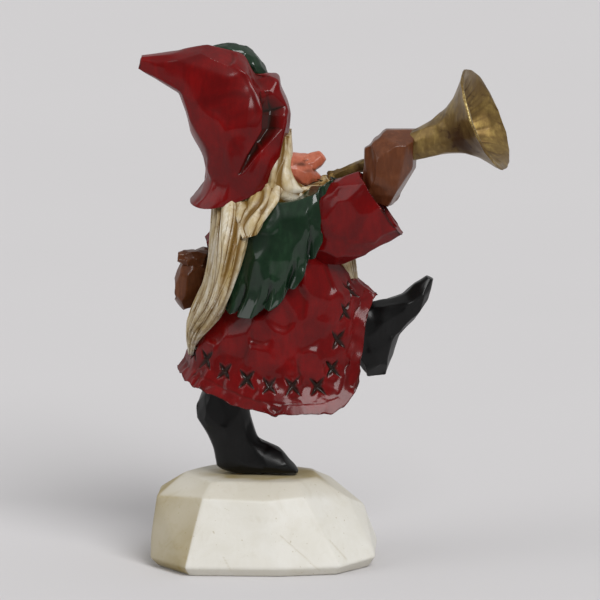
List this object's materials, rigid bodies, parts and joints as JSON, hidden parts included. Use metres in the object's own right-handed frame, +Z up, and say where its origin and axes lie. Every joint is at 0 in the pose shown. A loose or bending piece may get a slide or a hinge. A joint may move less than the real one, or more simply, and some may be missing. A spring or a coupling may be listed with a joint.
{
  "type": "carved wooden figurine",
  "caption": "Painted wooden gnome in a long coat and bent pointed hat, blowing a flared horn and striding on one leg, pegged to a faceted block.",
  "frame": {"origin": "middle of the block's flat underside, which rests on a shelf", "axes": "+Z up, +X the way that the figure faces, -Y towards its right side"},
  "size_m": [0.0872, 0.0445, 0.1238],
  "materials": {
    "ivory_paint": "off-white wood paint, rubbed with a thin yellow-brown glaze",
    "black_paint": "black wood paint, half gloss",
    "red_paint": "deep red wood paint under gloss varnish",
    "green_paint": "dark green wood paint under gloss varnish",
    "cream_paint": "cream wood paint with a brown glaze left in the gouge cuts",
    "skin_paint": "flesh-coloured wood paint, half gloss",
    "mitten_paint": "leather-brown wood paint, half gloss",
    "gold_paint": "bronze-gold paint with a brown glaze",
    "bare_birch": "bare turned birch"
  },
  "bodies": {
    "root": {"base": "ivory_paint", "standing_boot": "black_paint", "raised_boot": "black_paint", "coat": "red_paint", "hat": "red_paint", "right_sleeve": "red_paint", "left_sleeve": "red_paint", "cape": "green_paint", "hat_leaf": "green_paint", "fringe": "cream_paint", "mane": "cream_paint", "right_temple_lock": "cream_paint", "left_temple_lock": "cream_paint", "beard": "cream_paint", "moustache": "cream_paint", "head": "skin_paint", "right_mitten": "mitten_paint", "left_mitten": "mitten_paint", "horn_tube": "gold_paint", "horn_bell": "gold_paint", "base_pin": "bare_birch", "standing_leg_pin": "bare_birch", "raised_leg_pin": "bare_birch", "neck_pin": "bare_birch", "hat_pin": "bare_birch", "right_shoulder_pin": "bare_birch", "left_shoulder_pin": "bare_birch", "right_wrist_pin": "bare_birch", "left_wrist_pin": "bare_birch"}
  },
  "joints": []
}
